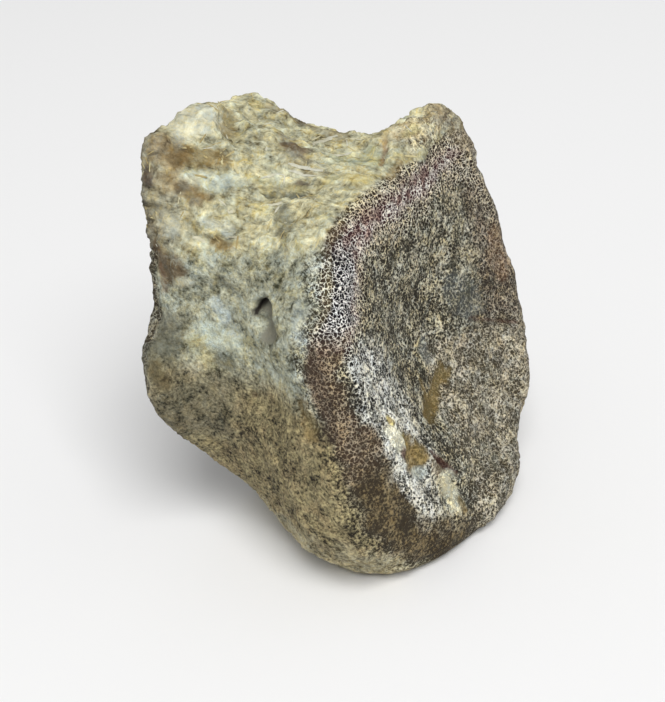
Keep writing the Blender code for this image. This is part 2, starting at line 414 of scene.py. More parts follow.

# The stains that can be told apart by eye, and a few painted shadows: from, to, reach, tone and strength.
STAINS_AND_SHADOWS = [
    ((-19.0, -8.1, 61.5), (-17.0, -3.0, 62.0), 3.0, "chalk", 0.85),
    # The olive ochre in the valley between the two top lumps is partly its own stain and partly painted
    # shade in the groove.
    ((-16.9, 0.4, 61.0), (-14.4, -3.2, 60.3), 1.2, "olive ochre", 0.6),
    # These two brown lines along the knob's right outline are painted shadow.
    ((-14.5, 8.6, 59.2), (-9.0, 8.6, 57.6), 1.7, "brown", 0.55),
    ((-9.0, 8.6, 57.6), (-3.0, 7.8, 56.0), 1.5, "brown", 0.45),
    ((-15.9, -11.8, 58.8), (-12.0, -9.6, 58.0), 1.8, "umber", 0.75),
    ((-14.8, -13.9, 56.0), (-9.5, -10.9, 55.4), 1.7, "greenish white", 0.7),
    ((-19.2, -14.2, 60.0), (-18.0, -13.0, 59.0), 2.2, "brown", 0.6),
    ((-20.3, -16.3, 56.9), (-20.0, -16.6, 56.0), 1.2, "purple brown", 0.8),
    ((-15.2, -15.4, 55.4), (-12.8, -15.2, 54.0), 1.2, "brown", 0.7),
    ((-17.6, -17.9, 51.8), (-15.8, -18.3, 50.4), 1.6, "chalk", 0.7),
    ((-11.5, -15.9, 51.0), (-7.7, -15.9, 50.2), 0.9, "bluish white", 0.6),
    ((-9.6, -17.2, 48.9), (-6.4, -17.2, 48.5), 0.8, "ochre", 0.75),
    ((-18.2, -19.4, 46.4), (-14.6, -20.1, 44.5), 2.3, "russet", 0.85),
    ((-17.8, -20.0, 44.0), (-16.8, -20.8, 41.5), 1.2, "rust", 0.5),
    ((-1.2, -11.8, 52.9), (0.8, -14.6, 51.4), 1.2, "slate", 0.5),
    ((0.4, -14.9, 51.2), (1.4, -15.6, 50.4), 0.9, "slate", 0.4),
    ((-6.8, -1.0, 57.5), (-4.6, 0.6, 57.0), 1.2, "brown", 0.8),
    ((-5.6, -9.9, 53.9), (-0.2, -8.6, 54.3), 0.35, "slate", 0.8),
    ((-1.4, -6.6, 54.9), (-0.4, -6.8, 54.8), 0.8, "purple brown", 0.7),
    ((-8.0, -9.0, 55.6), (0.0, -7.4, 54.8), 0.7, "straw", 0.6),
    ((-5.5, -2.2, 56.4), (-0.5, -3.6, 55.5), 1.8, "grey tan", 0.4),
    ((-8.4, 1.6, 58.0), (-5.2, -1.6, 56.8), 1.3, "purple brown", 0.55),
    ((-13.6, -14.4, 55.6), (-11.6, -14.6, 54.2), 1.0, "ochre", 0.6),
    ((-17.6, -13.4, 58.4), (-17.2, -16.4, 55.8), 1.6, "ochre", 0.4),
    ((1.0, 1.8, 55.5), (4.0, 3.0, 55.5), 3.0, "pale green", 0.55),
    ((2.0, -4.4, 55.3), (6.8, -2.6, 55.3), 1.3, "straw", 0.6),
    ((8.6, 0.7, 54.3), (8.2, 5.1, 54.9), 0.8, "ochre", 0.6),
    ((4.5, 7.6, 56.8), (6.0, 3.6, 55.1), 0.5, "rust", 0.7),
    ((4.5, 9.0, 57.6), (7.6, 12.0, 57.9), 2.2, "tan", 0.45),
    ((7.0, 15.4, 59.0), (7.0, 17.6, 58.9), 1.8, "tan", 0.5),
    ((7.0, 9.3, 57.6), (7.3, 11.2, 57.7), 0.9, "straw", 0.7),
    ((8.8, 18.6, 57.0), (9.2, 21.6, 53.4), 3.0, "grey tan", 0.6),
    ((-10.4, -20.0, 35.8), (-5.9, -19.6, 35.0), 2.0, "greenish white", 0.95),
    ((-8.6, -19.1, 40.6), (-5.6, -19.4, 36.6), 0.9, "bluish white", 0.75),
    ((-14.2, -19.8, 43.0), (-12.4, -19.8, 43.2), 0.8, "chalk", 0.9),
    ((-8.4, -18.5, 43.9), (-6.6, -18.5, 43.6), 1.0, "grey", 0.6),
    ((-12.0, -20.2, 34.5), (-9.9, -20.5, 31.8), 1.5, "straw", 0.35),
    ((-8.4, -19.9, 31.9), (-6.4, -19.8, 31.4), 0.9, "grey", 0.7),
    ((-16.0, -23.6, 34.5), (-14.4, -23.0, 34.9), 1.4, "grey", 0.6),
    ((-15.9, -25.8, 31.8), (-14.8, -26.0, 29.6), 1.3, "olive", 0.8),
    ((-2.4, -19.8, 27.4), (-2.2, -19.8, 26.8), 0.8, "dark red", 0.8),
    ((7.0, -22.2, 44.4), (7.8, -23.8, 38.6), 1.2, "bluish white", 0.45),
    ((9.6, -24.2, 38.6), (12.3, -25.2, 28.0), 1.5, "purple brown", 0.35),
    ((7.8, -24.2, 30.7), (9.4, -25.0, 27.4), 1.4, "olive ochre", 0.6),
    ((12.6, 12.2, 33.0), (14.0, 14.6, 29.0), 2.8, "blue grey", 0.4),
    ((14.2, 23.0, 36.5), (15.4, 22.0, 31.6), 2.0, "rust", 0.35),
    ((14.2, 4.6, 22.2), (15.9, -3.0, 19.8), 1.7, "olive ochre", 0.9),
    ((17.2, -17.8, 25.2), (18.2, -15.8, 21.8), 1.4, "cream", 0.95),
    ((16.7, -16.6, 26.6), (17.0, -16.4, 25.8), 0.7, "sulphur", 0.9),
    ((17.9, -14.9, 22.6), (18.2, -14.6, 20.8), 0.8, "sulphur", 0.8),
    ((18.3, -14.0, 20.4), (18.6, -12.4, 17.4), 2.4, "olive ochre", 0.95),
    ((18.4, -10.6, 18.6), (18.8, -10.0, 17.2), 1.1, "olive ochre", 0.7),
    ((19.1, -14.2, 16.6), (19.1, -11.8, 15.6), 1.0, "bluish white", 0.8),
    ((18.4, -16.4, 21.6), (18.6, -16.2, 20.6), 0.7, "dark red", 0.9),
    ((18.8, -8.8, 17.2), (20.6, -5.2, 12.0), 0.5, "dark red", 0.9),
    ((19.3, -9.2, 15.6), (20.3, -7.4, 12.8), 1.0, "pink tan", 0.55),
    ((13.2, -1.2, 23.6), (14.0, -1.8, 21.4), 0.5, "olive ochre", 0.7),
    ((11.8, 2.4, 27.8), (12.8, 3.0, 25.0), 1.1, "blue grey", 0.6),
    ((20.9, -7.2, 11.6), (21.8, -7.8, 8.7), 1.8, "cream", 0.95),
    ((22.4, -6.6, 8.4), (22.8, -6.4, 7.4), 1.0, "olive ochre", 0.8),
    ((14.3, 13.7, 27.1), (17.9, 21.9, 23.1), 0.35, "dark red", 0.6),
]
STAIN_AND_SHADOW_FADE = (1.25, 0.6)
STAIN_AND_SHADOW_LIFT = 1.34
STAIN_AND_SHADOW_SINK = 0.56
STAIN_AND_SHADOW_CALM = 0.1
fray = cloud(bone_points, 0.9, start=2)
for start, end, reach, tone, strength in STAINS_AND_SHADOWS:
    mask = strength * along_line(start, end, reach, STAIN_AND_SHADOW_FADE, reach * (0.4 * wander + 0.4 * fray))
    draw_towards(mask, TONE[tone] * STAIN_AND_SHADOW_SINK, TONE[tone] * STAIN_AND_SHADOW_LIFT)
    calm = np.maximum(calm, STAIN_AND_SHADOW_CALM * mask)

# The small vessel hole has a painted shadow under its upper lip, and is filled with smooth grey clay below.
LIP_SHADOW_LINES = [((-1.5, -20.0, 41.0), (-1.0, -19.9, 42.2)), ((-1.0, -19.9, 42.2), (0.4, -20.6, 42.7))]
LIP_SHADOW_REACH = (0.8, 0.4)
VESSEL_FILL = ((0.2, -20.7, 41.8), (0.9, -21.7, 38.9))
VESSEL_FILL_REACH = (1.9, 1.2)
VESSEL_LIFT = 1.1
VESSEL_SINK = 0.9
VESSEL_CALM = 0.6
# The lip mask carries painted shadow; the fill mask is the real grey clay.
lip = ramp(*LIP_SHADOW_REACH, np.minimum(*[near_line(bone_points, *edge) for edge in LIP_SHADOW_LINES]))
fill = ramp(*VESSEL_FILL_REACH, near_line(bone_points, *VESSEL_FILL) + 0.35 * fray)
for mask, tone in ((fill, "clay"), (lip, "pit shadow")):
    draw_towards(mask, TONE[tone] * VESSEL_SINK, TONE[tone] * VESSEL_LIFT)
    habits[:, STAINED_HABITS] = habits[:, STAINED_HABITS] * (1 - mask[:, None])
    calm = np.maximum(calm, VESSEL_CALM * mask)

# The scars that have a shape of their own: from, to, reach, and how far they rise or sink. They stop
# short of the worn flat that the bone stands on.
SCARS = [
    ((-15.8, -0.6, 61.2), (-13.4, -4.6, 60.0), 2.6, -1.5),
    ((-18.8, -6.6, 61.6), (-18.6, -3.8, 62.6), 3.2, 0.4),
    ((-19.0, 5.0, 60.0), (-17.8, 8.5, 59.6), 3.6, 0.4),
    ((3.6, 13.6, 57.8), (4.8, 16.0, 58.6), 2.6, -1.9),
    ((0.8, 9.4, 56.6), (3.2, 12.6, 57.6), 2.6, -0.9),
    ((-14.8, -13.9, 56.0), (-10.5, -11.4, 55.3), 1.6, 0.4),
    ((-1.3, -19.9, 41.8), (0.2, -20.5, 42.5), 1.1, -1.3),
    ((0.1, -20.6, 41.8), (1.5, -21.9, 39.4), 2.2, -0.8),
    ((-2.5, -19.8, 27.4), (-2.2, -19.8, 26.8), 1.1, -0.8),
    ((-17.4, -23.2, 35.8), (-14.0, -22.8, 34.4), 0.6, -0.35),
    ((-17.6, -24.2, 34.4), (-13.8, -23.8, 33.2), 0.6, 0.3),
    ((-8.4, -18.5, 44.2), (-6.8, -18.5, 42.4), 0.9, -0.5),
    ((-7.8, -19.1, 37.0), (-6.6, -18.9, 34.6), 1.6, 0.35),
    ((-5.6, -9.9, 53.9), (-0.2, -8.6, 54.3), 0.6, -0.6),
    ((-16.4, -17.0, 53.4), (-8.6, -17.0, 50.6), 0.8, -0.5),
    ((-10.8, -16.6, 49.2), (-5.0, -16.6, 48.6), 0.9, 0.45),
    ((-12.0, -12.4, 56.8), (-9.0, -9.2, 57.0), 0.9, -0.5),
    ((4.4, 7.8, 56.8), (6.2, 3.4, 55.1), 0.7, -0.5),
    ((6.4, 0.6, 54.8), (8.6, 7.4, 56.2), 0.8, 0.4),
    ((14.2, 4.6, 22.2), (15.9, -3.6, 19.6), 1.5, -0.5),
    ((18.2, -13.2, 19.6), (18.9, -12.8, 17.0), 1.7, -0.6),
    ((17.2, -17.8, 25.2), (18.2, -15.8, 21.8), 1.1, 0.45),
    ((19.3, -8.2, 16.4), (21.2, -5.4, 10.7), 0.6, -0.8),
    ((20.4, -7.2, 11.8), (21.5, -8.6, 9.6), 1.2, 0.5),
    ((14.3, 13.7, 27.1), (17.9, 21.9, 23.1), 0.5, -0.4),
    ((9.6, -24.2, 38.6), (12.3, -25.2, 28.0), 1.4, -0.4),
    ((16.2, 24.0, 29.0), (20.3, 19.5, 15.4), 4.5, 0.6),
    ((23.2, 7.0, 5.5), (23.5, 2.0, 3.5), 6.0, 1.3),
    ((9.2, 21.4, 54.4), (9.9, 21.9, 51.4), 4.0, 0.8),
    ((-19.9, -18.8, 50.3), (-19.9, -19.4, 46.0), 3.4, -1.2),
    ((-17.9, -21.6, 37.4), (-17.8, -22.4, 36.4), 2.6, -0.8),
    ((-21.6, -12.6, 60.2), (-21.0, -15.6, 58.4), 4.0, 0.5),
    ((-21.2, -12.0, 60.6), (-20.2, -8.6, 61.6), 2.6, 0.7),
    ((12.8, -23.2, 4.2), (17.4, -21.3, 4.2), 4.0, -0.6),
]
SCAR_FADE = (1.1, 0.3)
SEAT_FADE = (0.4, 2.5)
outward = np.zeros(count * 3)
bone_mesh.vertices.foreach_get("normal", outward)
scarred = np.zeros(count)
for start, end, reach, rise in SCARS:
    scarred += rise * along_line(start, end, reach, SCAR_FADE, 0.2 * reach * fray)
seat = ramp(*SEAT_FADE, height)
scarred_points = bone_points + outward.reshape(-1, 3) * (seat * scarred)[:, None]
bone_mesh.vertices.foreach_set("co", (scarred_points * MM).ravel())


def keep_value(mesh, name, values):
    """Stores one number a point."""
    layer = mesh.attributes.new(name, "FLOAT", "POINT")
    layer.data.foreach_set("value", np.ascontiguousarray(values, dtype=np.float32))


def keep_colour(mesh, name, colours):
    """Stores one colour a point."""
    layer = mesh.attributes.new(name, "FLOAT_COLOR", "POINT")
    full = np.ones((len(colours), 4), np.float32)
    full[:, :3] = colours
    layer.data.foreach_set("color", full.ravel())


# How much of the worn face's speckle the back, the flank by the rim and the peak have.
BACK_SPECKLE = 0.6
RIM_SPECKLE = 0.55
PEAK_SPECKLE = 0.75
speckle = front_zone + BACK_SPECKLE * back_zone + RIM_SPECKLE * near_rim + PEAK_SPECKLE * peak
keep_value(bone_mesh, "front face", front_zone)
keep_value(bone_mesh, "speckle", np.clip(speckle, 0, 1))
keep_value(bone_mesh, "broken", broken_zone)
keep_value(bone_mesh, "seat", seat)
keep_value(bone_mesh, "calm", calm)
for column, name in enumerate(HABITS):
    keep_value(bone_mesh, name, habits[:, column])
keep_colour(bone_mesh, "pore colour", dark)
keep_colour(bone_mesh, "grain colour", pale)


class Bench:
    """Puts nodes into one tree and wires them up as they are named."""

    def __init__(self, tree):
        self.tree = tree

    def put(self, kind, inputs=None, out=0, **settings):
        """Adds a node, sets it, fills its inputs with values or wires and gives one output."""
        made = self.tree.nodes.new(kind)
        for name, value in settings.items():
            setattr(made, name, value)
        for key, value in (inputs or {}).items():
            if isinstance(value, bpy.types.NodeSocket):
                self.tree.links.new(value, made.inputs[key])
            else:
                made.inputs[key].default_value = value
        return made.outputs[out]

    def sum(self, kind, first, second=0.0, third=0.0):
        """One step of arithmetic on numbers."""
        return self.put("ShaderNodeMath", {0: first, 1: second, 2: third}, operation=kind)

    def added(self, first, *others):
        """All of these numbers together."""
        return self.sum("ADD", first, self.added(*others)) if others else first

    def times(self, first, second):
        """One number as many times as the other says."""
        return self.sum("MULTIPLY", first, second)

    def swing(self, pattern, size):
        """A 0 to 1 pattern as a push down or up, of that size from end to end."""
        return self.times(self.sum("SUBTRACT", pattern, 0.5), size)

    def blend(self, share, first, second):
        """A number between two numbers."""
        return self.put("ShaderNodeMix", {0: share, 2: first, 3: second}, data_type="FLOAT")

    def tint(self, share, first, second, kind="MIX"):
        """A colour between two colours."""
        inputs = {0: share, 6: first, 7: second}
        return self.put("ShaderNodeMix", inputs, 2, data_type="RGBA", blend_type=kind)

    def scaled(self, way, size):
        """A place, a way or a colour, made that many times as large."""
        return self.put("ShaderNodeVectorMath", {0: way, "Scale": size}, operation="SCALE")

    def joined(self, kind, first, second):
        """Two places or ways added or multiplied, axis by axis."""
        return self.put("ShaderNodeVectorMath", {0: first, 1: second}, operation=kind)

    def axes(self, x, y, z):
        """Three numbers as one place or way."""
        return self.put("ShaderNodeCombineXYZ", {0: x, 1: y, 2: z})

    def spots(self, places, scale, detail, roughness=0.5, twist=0.0):
        """Wandering light and dark, with that many spots to the millimetre."""
        return self.put("ShaderNodeTexNoise", {
            "Vector": places, "Scale": scale, "Detail": detail, "Roughness": roughness, "Distortion": twist})

    def zone(self, name):
        """A number that the skin carries, for Geometry Nodes."""
        return self.put("GeometryNodeInputNamedAttribute", {"Name": name}, data_type="FLOAT")

    def carried(self, name, out="Fac"):
        """A number or a colour that the skin carries, for a material."""
        return self.put("ShaderNodeAttribute", {}, out, attribute_name=name)

    def close_shape(self, shape, material):
        """Ends a Geometry Nodes tree: real geometry in its material."""
        real = self.put("GeometryNodeRealizeInstances", {"Geometry": shape})
        done = self.put("GeometryNodeSetMaterial", {"Geometry": real, "Material": material})
        self.tree.links.new(done, self.tree.nodes.new("NodeGroupOutput").inputs[0])

    def close_surface(self, skin, kind="ShaderNodeOutputMaterial"):
        """Ends a material, or the room's light."""
        self.tree.links.new(skin, self.tree.nodes.new(kind).inputs["Surface"])


def name_sockets(tree, way, kind, names):
    """Gives a tree its named inputs or outputs of one kind, with their values where they have one."""
    for name in names:
        socket = tree.interface.new_socket(name, in_out=way, socket_type="NodeSocket" + kind)
        if isinstance(names, dict):
            socket.default_value = names[name]


# The relief: low swellings everywhere, grain, and long ridges of torn fibre where the arch broke off.
# Its sizes are in millimetres. Its patterns are spots to the millimetre, detail, roughness and twist.
RELIEF_SIZES = {
    "Swelling Height": 0.5, "Dimple Height": 0.5, "Grain Height": 0.2, "Crust Height": 0.42,
    "Fibre Height": 0.6, "Fibre Length": 4.0, "Fibre Width": 1.1, "Chunk Height": 0.8, "Seed": 3.0,
}
RELIEF_PATTERN = {
    "swelling": (0.2, 2.0, 0.5),
    "grain": (0.85, 3.0, 0.62),
    "dimple": (0.42, 3.0, 0.6, 0.5),
    "fibre": (0.8, 2.0, 0.55, 0.9),
    "chunk": (0.3, 3.0, 0.55, 0.8),
}
FACE_DIMPLES = 0.5


def relief_tree():
    """Lifts the skin along its normal, by the zones that it carries."""
    tree = bpy.data.node_groups.new("stone relief", "GeometryNodeTree")
    name_sockets(tree, "INPUT", "Geometry", ["Geometry"])
    name_sockets(tree, "INPUT", "Float", RELIEF_SIZES)
    name_sockets(tree, "INPUT", "Material", ["Material"])
    name_sockets(tree, "OUTPUT", "Geometry", ["Geometry"])
    bench = Bench(tree)
    given = tree.nodes.new("NodeGroupInput").outputs
    in_mm = bench.scaled(bench.put("GeometryNodeInputPosition"), 1 / MM)
    here = bench.joined("ADD", in_mm, bench.axes(given["Seed"], given["Seed"], given["Seed"]))

    def relief(pattern, places, rise):
        """A pattern made into a fall and a rise of that much."""
        return bench.times(bench.swing(bench.spots(places, *RELIEF_PATTERN[pattern]), 2.0), rise)

    swell = relief("swelling", here, given["Swelling Height"])
    grain_rise = bench.blend(bench.zone("coarse"), given["Grain Height"], given["Crust Height"])
    grain = relief("grain", here, grain_rise)
    dimple = relief("dimple", here, given["Dimple Height"])
    thin = bench.sum("DIVIDE", 1.0, given["Fibre Width"])
    squeeze = bench.axes(bench.sum("DIVIDE", 1.0, given["Fibre Length"]), thin, thin)
    along = bench.joined("MULTIPLY", here, squeeze)
    fibre = relief("fibre", along, given["Fibre Height"])
    chunk = relief("chunk", here, given["Chunk Height"])
    torn = bench.times(bench.added(fibre, chunk), bench.zone("broken"))
    dimple = bench.times(dimple, bench.blend(bench.zone("front face"), 1.0, FACE_DIMPLES))
    rise = bench.added(bench.added(swell, dimple), bench.added(grain, torn))
    rise = bench.times(rise, bench.zone("seat"))
    lift = bench.scaled(bench.put("GeometryNodeInputNormal"), bench.times(rise, MM))
    marked = bench.put("GeometryNodeStoreNamedAttribute", {
        "Geometry": given["Geometry"], "Name": "rise", "Value": rise}, data_type="FLOAT", domain="POINT")
    lifted = bench.put("GeometryNodeSetPosition", {"Geometry": marked, "Offset": lift})
    bench.close_shape(lifted, given["Material"])
    return tree


def set_inputs(modifier, **values):
    """Sets a modifier's named inputs by the identifiers of their sockets."""
    for socket in modifier.node_group.interface.items_tree:
        if socket.in_out == "INPUT" and socket.name in values:
            modifier[socket.identifier] = values[socket.name]


# The stone's look. Where the rim is worn through, the bone shows its inner net: fine bright threads
# over dark cells. Whole bone is softly clouded, and torn bone is drawn out along its fibres.
# Its patterns are spots to the millimetre, detail, roughness and twist.
PATTERN = {
    "close grit": (2.4, 2.5, 0.65, 0.3),
    "open grit": (1.9, 2.0, 0.6, 0.3),
    "cloudy": (0.34, 7.0, 0.67, 0.4),
    "mottle": (1.0, 3.5, 0.66, 0.5),
    "fibre": (0.6, 4.0, 0.64, 0.8),
    "fibre turn": (0.25, 2.0),
    "warmth": (0.3, 5.0, 0.7, 0.6),
    "blush": (0.26, 5.0, 0.7, 0.6),
    "ochre": (0.42, 6.0, 0.72, 0.8),
    "chalk": (0.5, 6.0, 0.72, 0.8),
    "soot": (0.8, 5.0, 0.75, 0.6),
}
# Where in its pattern each stain, and the turned fibre, begins and where it is full.
PATCH = {
    "fibre turn": (0.47, 0.6),
    "warmth": (0.37, 0.63),
    "blush": (0.44, 0.62),
    "ochre": (0.5, 0.62),
    "chalk": (0.52, 0.63),
    "soot": (0.37, 0.27),
}
# How strongly each pattern pushes the stone towards its dark or its pale, in whole, worn and torn bone.
WHOLE_PUSH = {"cloudy": 2.0, "mottle": 1.5, "fine": 2.2}
WORN_PUSH = {"net": 4.8, "fine": 5.5, "cloudy": 3.8, "mottle": 3.7}
TORN_PUSH = {"drawn": 1.6, "cloudy": 1.8, "mottle": 1.1}
CALM_PUSH = 0.25
# How much of the grit, the net and the mottle there is where the bone is not coarse or open at all.
LEAST_GRIT = 0.15
LEAST_NET = 0.1
LEAST_MOTTLE = 0.6
GRIT_LOST_IN_NET = 0.75
GRIT_HEIGHT = 0.5
# The net's cells to the millimetre, its threads from edge to heart, and how crookedly they run.
NET_SCALE = 1.7
NET_THREAD = (0.15, 0.02)
NET_BEND = 0.8
NET_CROOKED = {"Scale": 2.2, "Detail": 1.5}
NET_DARKER = 0.1
# The torn bone's pattern is drawn out along the bone, or across it where the fibres turn.
LENGTHWISE = (0.5, 1.8, 1.8)
CROSSWISE = (1.6, 0.6, 0.8)
# Patterns that may not follow each other are read from places far apart.
SECOND_PLACE = (31.0, 17.0, 53.0)
THIRD_PLACE = (-12.0, 44.0, 9.0)
CRYSTAL_SCALE = 2.4
CRYSTAL_WARMTH = 0.5
CRYSTAL_BLUSH = 0.35
GRAIN_INPUTS = ("Speckle", "Open", "Coarse", "Broken", "Pale Share", "Calm")


def stone_grain_group():
    """How pale a spot of stone is, how high it stands and what has stained it."""
    group = bpy.data.node_groups.new("stone grain", "ShaderNodeTree")
    name_sockets(group, "INPUT", "Float", GRAIN_INPUTS)
    name_sockets(group, "INPUT", "Vector", ["Place"])
    bench = Bench(group)
    given = group.nodes.new("NodeGroupInput").outputs
    here = given["Place"]

    def pattern(name, places):
        """One of the stone's patterns."""
        return bench.spots(places, *PATTERN[name])

    def window(value, low, high):
        """0 at low and 1 at high, with a smooth rise between."""
        inputs = {"Value": value, "From Min": low, "From Max": high}
        return bench.put("ShaderNodeMapRange", inputs, interpolation_type="SMOOTHSTEP")

    def patches(name, places):
        """A pattern cut down to separate patches."""
        return window(pattern(name, places), *PATCH[name])

    second = bench.joined("ADD", here, SECOND_PLACE)
    third = bench.joined("ADD", here, THIRD_PLACE)
    fine = bench.blend(given["Open"], pattern("close grit", here), pattern("open grit", here))
    crooked = bench.put("ShaderNodeTexNoise", {"Vector": here, **NET_CROOKED}, "Color")
    bend = {0: crooked, 1: (NET_BEND, NET_BEND, NET_BEND), 2: here}
    bent = bench.put("ShaderNodeVectorMath", bend, operation="MULTIPLY_ADD")
    cells = {"Vector": bent, "Scale": NET_SCALE}
    walls = bench.put("ShaderNodeTexVoronoi", cells, feature="DISTANCE_TO_EDGE")
    net = bench.sum("SUBTRACT", window(walls, *NET_THREAD), NET_DARKER)
    lengthwise = pattern("fibre", bench.joined("MULTIPLY", here, LENGTHWISE))
    crosswise = pattern("fibre", bench.joined("MULTIPLY", here, CROSSWISE))
    drawn = bench.blend(patches("fibre turn", third), lengthwise, crosswise)
    patterns = {"net": net, "fine": fine, "drawn": drawn,
                "cloudy": pattern("cloudy", here), "mottle": pattern("mottle", second)}

    def pushes(strengths):
        """Each of these patterns as a push towards dark or pale."""
        return {name: bench.swing(patterns[name], size) for name, size in strengths.items()}

    whole = pushes(WHOLE_PUSH)
    gritty = bench.times(whole["fine"], bench.added(given["Coarse"], LEAST_GRIT))
    whole = bench.added(whole["cloudy"], whole["mottle"], gritty)
    worn = pushes(WORN_PUSH)
    webbed = bench.times(worn["net"], bench.added(given["Open"], LEAST_NET))
    blotched = bench.times(worn["mottle"], bench.added(given["Open"], LEAST_MOTTLE))
    grained = bench.times(worn["fine"], bench.sum("MULTIPLY_ADD", given["Open"], -GRIT_LOST_IN_NET, 1.0))
    worn = bench.added(webbed, grained, worn["cloudy"], blotched)
    torn = bench.added(*pushes(TORN_PUSH).values())
    push = bench.blend(given["Broken"], bench.blend(given["Speckle"], whole, worn), torn)
    push = bench.times(push, bench.blend(given["Calm"], 1.0, CALM_PUSH))
    level = bench.put("ShaderNodeClamp", {0: bench.added(push, given["Pale Share"])})
    height = bench.sum("MULTIPLY_ADD", fine, GRIT_HEIGHT, level)
    crystals = bench.put("ShaderNodeTexVoronoi", {"Vector": here, "Scale": CRYSTAL_SCALE}, "Color")
    facets = bench.put("ShaderNodeSeparateColor", {"Color": crystals}).node.outputs
    found = {
        "Pale": level,
        "Height": height,
        "Warmth": bench.blend(CRYSTAL_WARMTH, patches("warmth", third), facets["Green"]),
        "Blush": bench.blend(CRYSTAL_BLUSH, patches("blush", second), facets["Blue"]),
        "Ochre": patches("ochre", second),
        "Chalk": patches("chalk", third),
        "Soot": patches("soot", here),
    }
    name_sockets(group, "OUTPUT", "Float", list(found))
    end = group.nodes.new("NodeGroupOutput")
    for name, socket in found.items():
        group.links.new(socket, end.inputs[name])
    return group


def new_material(name):
    """An empty material, and the bench for its nodes."""
    made = bpy.data.materials.new(name)
    made.use_nodes = True
    made.node_tree.nodes.clear()
    return made, Bench(made.node_tree)


def grain_at(bench, grain_group, inputs):
    """The stone's grain at each place of an object, counted in millimetres."""
    place = bench.put("ShaderNodeTexCoord", {}, "Object")
    inputs = {**inputs, "Place": bench.scaled(place, 1 / MM)}
    return bench.put("ShaderNodeGroup", inputs, node_tree=grain_group).node.outputs


# The tints and stains that fall on the stone's two colours.
COOL = (0.89, 0.99, 1.12, 1)
WARM = (1.08, 1.01, 0.81, 1)
WARMTH_BY_OCHRE = 1.5
LEAST_WARMTH = 0.25
OCHRE = (0.94, 0.82, 0.50, 1)
CHALK_DARK = (*chart(148, 152, 134), 1)
CHALK_PALE = (*chart(208, 212, 194), 1)
BLUSH = (1.06, 0.86, 0.86, 1)
SOOT = (*chart(52, 46, 34), 1)
SOOT_STRENGTH = 0.3
# Low spots get painted shade and high ones painted light: their heights in millimetres, and their share of
# the colour.
LOW_SPOT = -0.8
LOW_SHADE = 0.6
HIGH_SPOT = 0.6
HIGH_SHADE = 1.2
PORE_ROUGHNESS = 0.86
GRAIN_ROUGHNESS = 0.68
STONE_GLOSS = 0.35
BONE_BUMP = {"Strength": 0.8, "Distance": 0.00027}


def bone_material(grain_group):
    """Fossil bone: dull stone, its two colours carried by the skin."""
    stone, bench = new_material("fossil bone")
    grain = grain_at(bench, grain_group, {name: bench.carried(name.lower()) for name in GRAIN_INPUTS})
    ochre = bench.carried("ochre")
    base = bench.tint(grain["Pale"], bench.carried("pore colour", "Color"),
                      bench.carried("grain colour", "Color"))
    warmth = {0: ochre, 1: WARMTH_BY_OCHRE, 2: LEAST_WARMTH}
    warmed = bench.put("ShaderNodeMath", warmth, operation="MULTIPLY_ADD", use_clamp=True)
    base = bench.tint(warmed, base, bench.tint(grain["Warmth"], COOL, WARM), "MULTIPLY")
    blushed = bench.times(grain["Blush"], bench.carried("blush"))
    base = bench.tint(blushed, base, BLUSH, "MULTIPLY")
    base = bench.tint(bench.times(grain["Ochre"], ochre), base, OCHRE, "MULTIPLY")
    chalked = bench.times(grain["Chalk"], bench.carried("chalk"))
    base = bench.tint(chalked, base, bench.tint(grain["Pale"], CHALK_DARK, CHALK_PALE))
    base = bench.tint(bench.times(grain["Soot"], SOOT_STRENGTH), base, SOOT)
    # Painted shade in low spots and painted light on high ones, set by how far the skin rose.
    shade = bench.put("ShaderNodeMapRange", {
        "Value": bench.carried("rise"), "From Min": LOW_SPOT, "From Max": HIGH_SPOT,
        "To Min": LOW_SHADE, "To Max": HIGH_SHADE})
    bump = bench.put("ShaderNodeBump", {**BONE_BUMP, "Height": grain["Height"]})
    roughness = bench.blend(grain["Pale"], PORE_ROUGHNESS, GRAIN_ROUGHNESS)
    skin = bench.put("ShaderNodeBsdfPrincipled", {
        "Base Color": bench.scaled(base, shade), "Roughness": roughness, "IOR": 1.5,
        "Specular IOR Level": STONE_GLOSS, "Normal": bump})
    bench.close_surface(skin)
    return stone


stone_grain = stone_grain_group()
fossil_bone = bone_material(stone_grain)
blank = add_object("bone blank", bone_mesh)
relief = blank.modifiers.new("stone relief", "NODES")
relief.node_group = relief_tree()
set_inputs(relief, Material=fossil_bone)
bone_mesh = plain_mesh(blank, "vertebra")

# It is set down again on the worn flat at the foot of the front rim, which the relief leaves alone.
RESTING_FACE = (15.6, -5.6)
RESTING_REACH = 5.0
seated = points_of(bone_mesh)
rests = np.hypot(seated[:, 0] - RESTING_FACE[0], seated[:, 1] - RESTING_FACE[1]) < RESTING_REACH
seated[:, 2] = np.maximum(seated[:, 2] - seated[rests, 2].min(), 0)
bone_mesh.vertices.foreach_set("co", (seated * MM).ravel())
bone_mesh.polygons.foreach_set("use_smooth", np.ones(len(bone_mesh.polygons), dtype=bool))
bone = add_object("vertebra_bone", bone_mesh)
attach(bone, "root")
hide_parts("vertebra")

# ---------------------------------------------------------------------------
# The torn slivers
# Where the arch broke off, the bone tore along its grain. Slivers of it still lie on the break, half
# sunk in the crust: many small ones, and the larger pale ones that can be told apart by eye.
# ---------------------------------------------------------------------------
SLIVER_SIZES = {"Length": 0.85, "Width": 0.13, "Height": 0.1, "Apart": 1.0, "Sink": 0.03}
SLIVER_SEED = 11
SLIVER_CROWD = 1.2
# They lie in heaps, and their course wanders over the break: both are patterns as in the relief.
SLIVER_HEAPS = (0.28, 3.0, 0.6, 0.4)
HEAP_EDGE = {"From Min": 0.5, "From Max": 0.62}
SLIVER_COURSE = (0.22, 1.0)
SLIVER_TURN = 9.0
